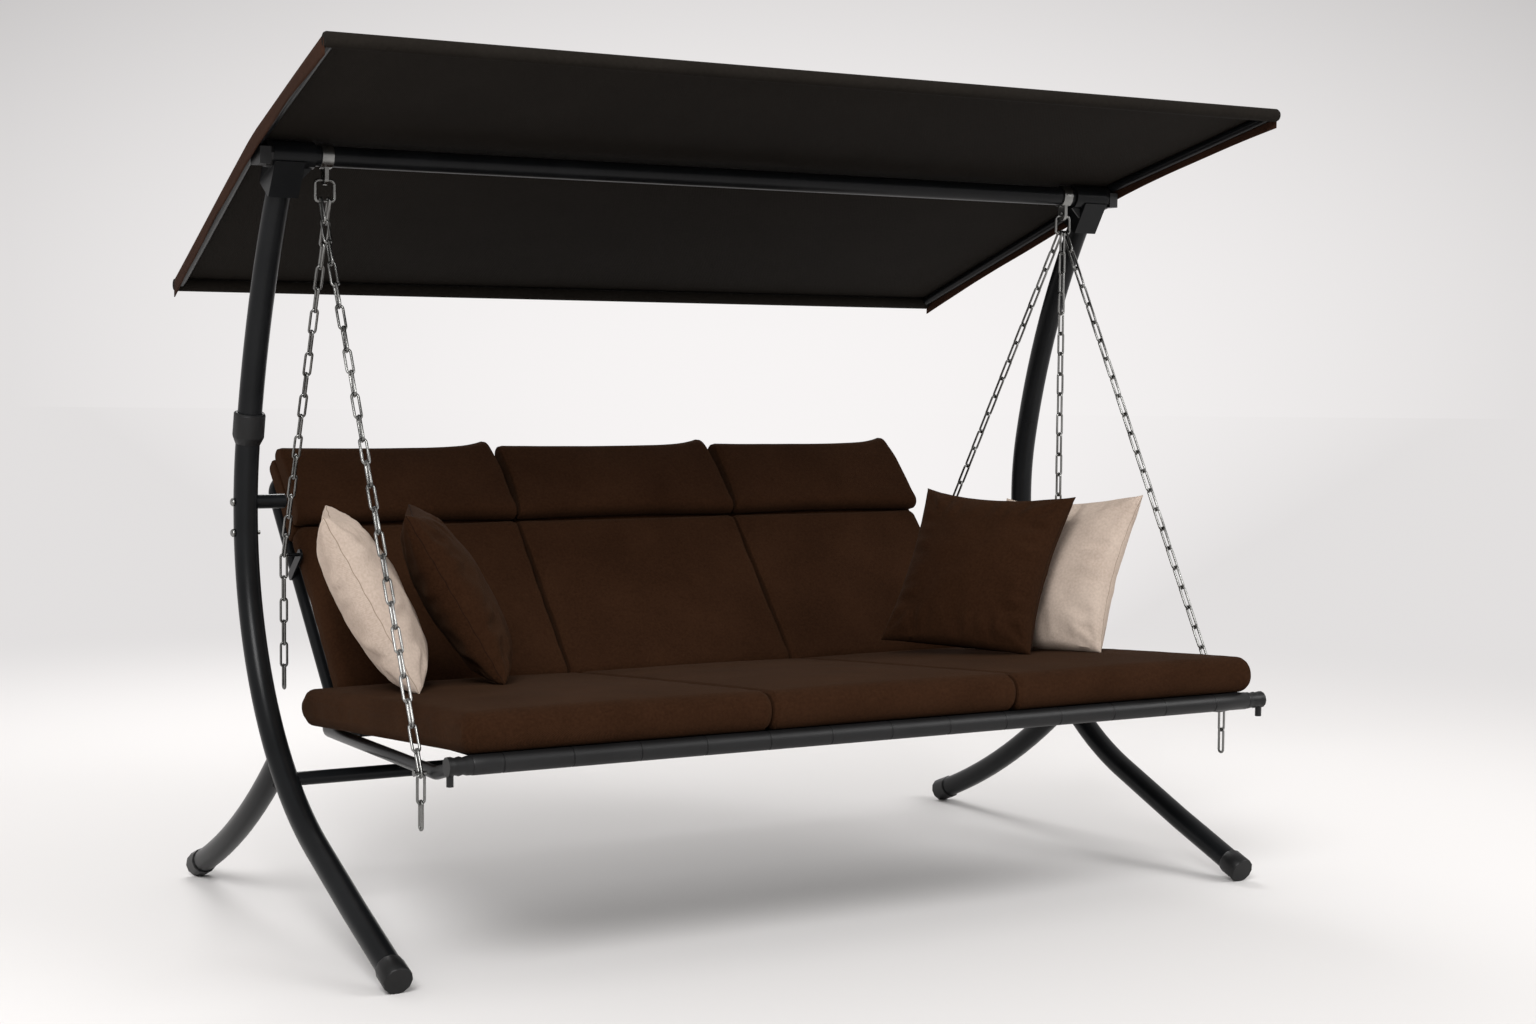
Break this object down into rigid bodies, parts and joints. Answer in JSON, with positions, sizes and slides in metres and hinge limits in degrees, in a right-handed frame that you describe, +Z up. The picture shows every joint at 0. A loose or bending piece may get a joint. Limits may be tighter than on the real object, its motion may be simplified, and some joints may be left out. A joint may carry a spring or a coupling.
{
  "type": "garden swing",
  "caption": "Garden swing seat hung on chains from a curved tubular stand, with a tilting cloth canopy, a reclining padded back with headrests and loose cushions.",
  "frame": {"origin": "on the ground, under the middle of the bounding box", "axes": "+X to the right seen from the front, along the beam; +Y to the rear; +Z up"},
  "size_m": [2.2266, 1.4173, 1.7181],
  "materials": {
    "frame_paint": "satin black powder coat",
    "black_plastic": "fine matte",
    "bright_steel": "zinc-plated",
    "brown_fabric": "plain woven",
    "cream_fabric": "plain woven",
    "canopy_fabric": "coated woven",
    "sling_fabric": "mesh weave"
  },
  "bodies": {
    "stand": {"front_leg_left": "frame_paint", "upper_post_left": "frame_paint", "rear_leg_left": "frame_paint", "leg_gusset_left": "frame_paint", "front_foot_left": "black_plastic", "rear_foot_left": "black_plastic", "beam_socket_left": "frame_paint", "beam_hook_left": "bright_steel", "front_leg_right": "frame_paint", "upper_post_right": "frame_paint", "rear_leg_right": "frame_paint", "leg_gusset_right": "frame_paint", "front_foot_right": "black_plastic", "rear_foot_right": "black_plastic", "beam_socket_right": "frame_paint", "beam_hook_right": "bright_steel", "post_collar_left": "black_plastic", "side_stub_left": "frame_paint", "stub_screw_upper": "bright_steel", "stub_screw_lower": "bright_steel", "lower_crossbar": "frame_paint", "beam": "frame_paint"},
    "canopy": {"canopy_cloth": "canopy_fabric", "canopy_front_rail": "frame_paint", "canopy_rear_rail": "frame_paint", "canopy_side_rail_left": "frame_paint", "canopy_clamp_left": "black_plastic", "canopy_side_rail_right": "frame_paint", "canopy_clamp_right": "black_plastic"},
    "swing": {"seat_frame": "frame_paint", "seat_front_tube": "frame_paint", "seat_sling": "sling_fabric", "loose_chain_right": "bright_steel", "corner_fitting_left": "black_plastic", "hinge_bolt_left": "bright_steel", "hanging_ring_left": "bright_steel", "front_chain_left": "bright_steel", "front_chain_pin_left": "bright_steel", "rear_chain_left": "bright_steel", "brown_cushion_left": "brown_fabric", "cream_cushion_left": "cream_fabric", "corner_fitting_right": "black_plastic", "hinge_bolt_right": "bright_steel", "hanging_ring_right": "bright_steel", "front_chain_right": "bright_steel", "front_chain_pin_right": "bright_steel", "rear_chain_right": "bright_steel", "brown_cushion_right": "brown_fabric", "cream_cushion_right": "cream_fabric", "seat_pad_left": "brown_fabric", "seat_pad_centre": "brown_fabric", "seat_pad_right": "brown_fabric"},
    "back": {"back_frame": "frame_paint", "back_sling": "sling_fabric", "back_pad_left": "brown_fabric", "headrest_left": "brown_fabric", "back_pad_centre": "brown_fabric", "headrest_centre": "brown_fabric", "back_pad_right": "brown_fabric", "headrest_right": "brown_fabric"}
  },
  "joints": [
    {"name": "swing", "type": "hinge", "parent": "stand", "child": "swing", "pos_m": [0, -0.0049, 1.4984], "axis": [1, 0, 0], "range_deg": [-14, 12]},
    {"name": "back_recline", "type": "hinge", "parent": "swing", "child": "back", "pos_m": [0, 0.2303, 0.405], "axis": [1, 0, 0], "range_deg": [-38, 0]},
    {"name": "canopy_tilt", "type": "hinge", "parent": "stand", "child": "canopy", "pos_m": [0, -0.0049, 1.5451], "axis": [1, 0, 0], "range_deg": [-15, 20]}
  ]
}
